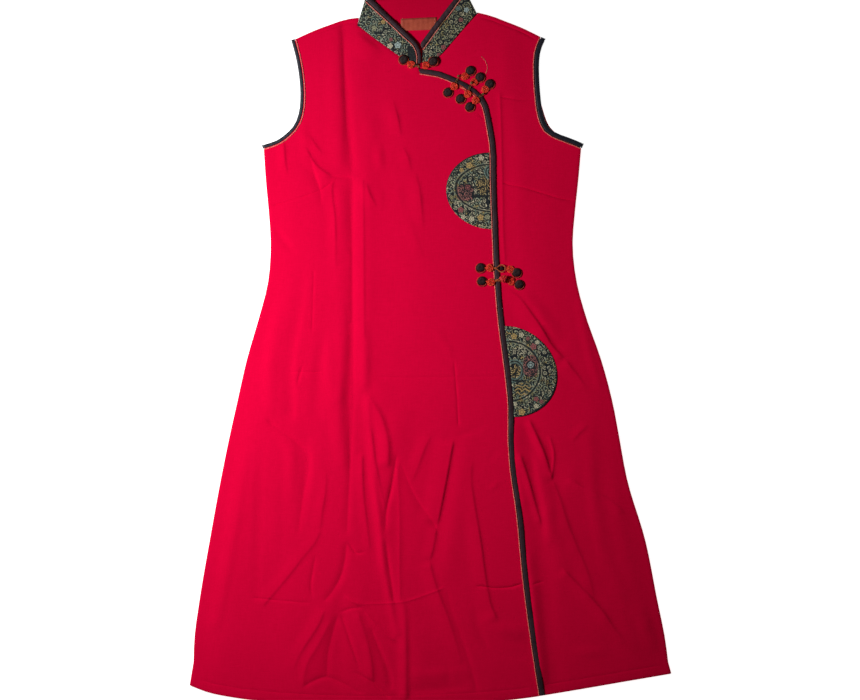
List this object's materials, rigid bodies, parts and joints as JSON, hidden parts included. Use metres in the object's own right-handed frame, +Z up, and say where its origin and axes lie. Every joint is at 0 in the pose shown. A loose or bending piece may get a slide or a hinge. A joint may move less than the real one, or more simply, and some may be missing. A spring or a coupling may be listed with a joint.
{
  "type": "cheongsam",
  "caption": "Long sleeveless dress laid flat, with a standing collar, a bound side opening with knotted frog closures, bound armholes and half-round applied medallions.",
  "frame": {"origin": "on the surface that the garment lies on, under the middle of its box", "axes": "+Z up from the surface, +Y from the hem to the collar, +X to the right as seen from above, towards the wearer's left"},
  "size_m": [0.683, 1.019, 0.0121],
  "materials": {
    "red_cloth": "matt plain-woven cloth",
    "brocade": "dark figured brocade with a low sheen",
    "dark_satin": "satin, very dark plum",
    "coral_cord": "twisted cord",
    "label_weave": "plain woven tab"
  },
  "bodies": {
    "root": {"back_panel": "red_cloth", "front_panel_over": "red_cloth", "front_panel_under": "red_cloth", "collar_shell": "brocade", "collar_lining": "red_cloth", "collar_binding": "dark_satin", "collar_piping_left": "coral_cord", "collar_piping_right": "coral_cord", "placket_binding": "dark_satin", "placket_piping": "coral_cord", "armhole_binding_left": "dark_satin", "armhole_binding_right": "dark_satin", "armhole_piping_left": "coral_cord", "armhole_piping_right": "coral_cord", "medallion_upper": "brocade", "medallion_lower": "brocade", "neck_label": "label_weave", "frog_collar_loop": "coral_cord", "frog_collar_knot": "coral_cord", "frog_bust_upper_loop": "coral_cord", "frog_bust_upper_knot": "coral_cord", "frog_bust_middle_loop": "coral_cord", "frog_bust_middle_knot": "coral_cord", "frog_bust_lower_loop": "coral_cord", "frog_bust_lower_knot": "coral_cord", "frog_waist_upper_loop": "coral_cord", "frog_waist_upper_knot": "coral_cord", "frog_waist_lower_loop": "coral_cord", "frog_waist_lower_knot": "coral_cord"}
  },
  "joints": []
}
